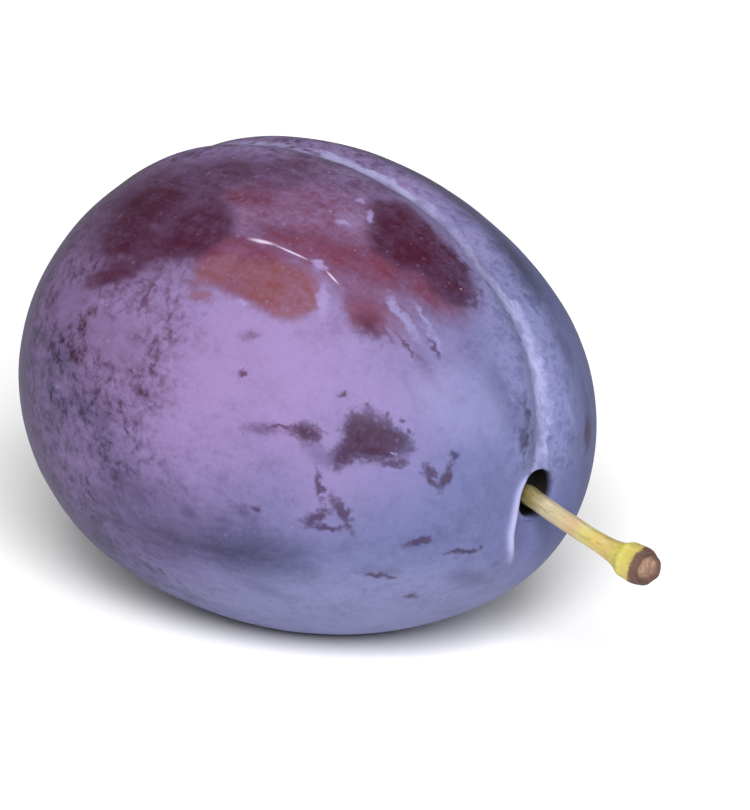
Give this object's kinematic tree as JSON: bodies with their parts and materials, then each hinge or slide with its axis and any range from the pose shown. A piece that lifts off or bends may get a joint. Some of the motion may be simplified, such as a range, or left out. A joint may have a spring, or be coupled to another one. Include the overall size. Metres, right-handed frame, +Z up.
{
  "type": "plum",
  "caption": "Oval blue-purple European plum lying on its side, with a shallow suture, a stem cavity and a short stem whose end swells to a knob.",
  "frame": {"origin": "middle of the small flat spot that the plum rests on", "axes": "+Z up, +X towards the stem end, level; the fruit's own core dips 3.5 degrees below +X"},
  "size_m": [0.0622, 0.0383, 0.0373],
  "materials": {
    "skin": "satin",
    "stem": "satin"
  },
  "bodies": {
    "root": {"fruit": "skin", "stem": "stem"}
  },
  "joints": []
}
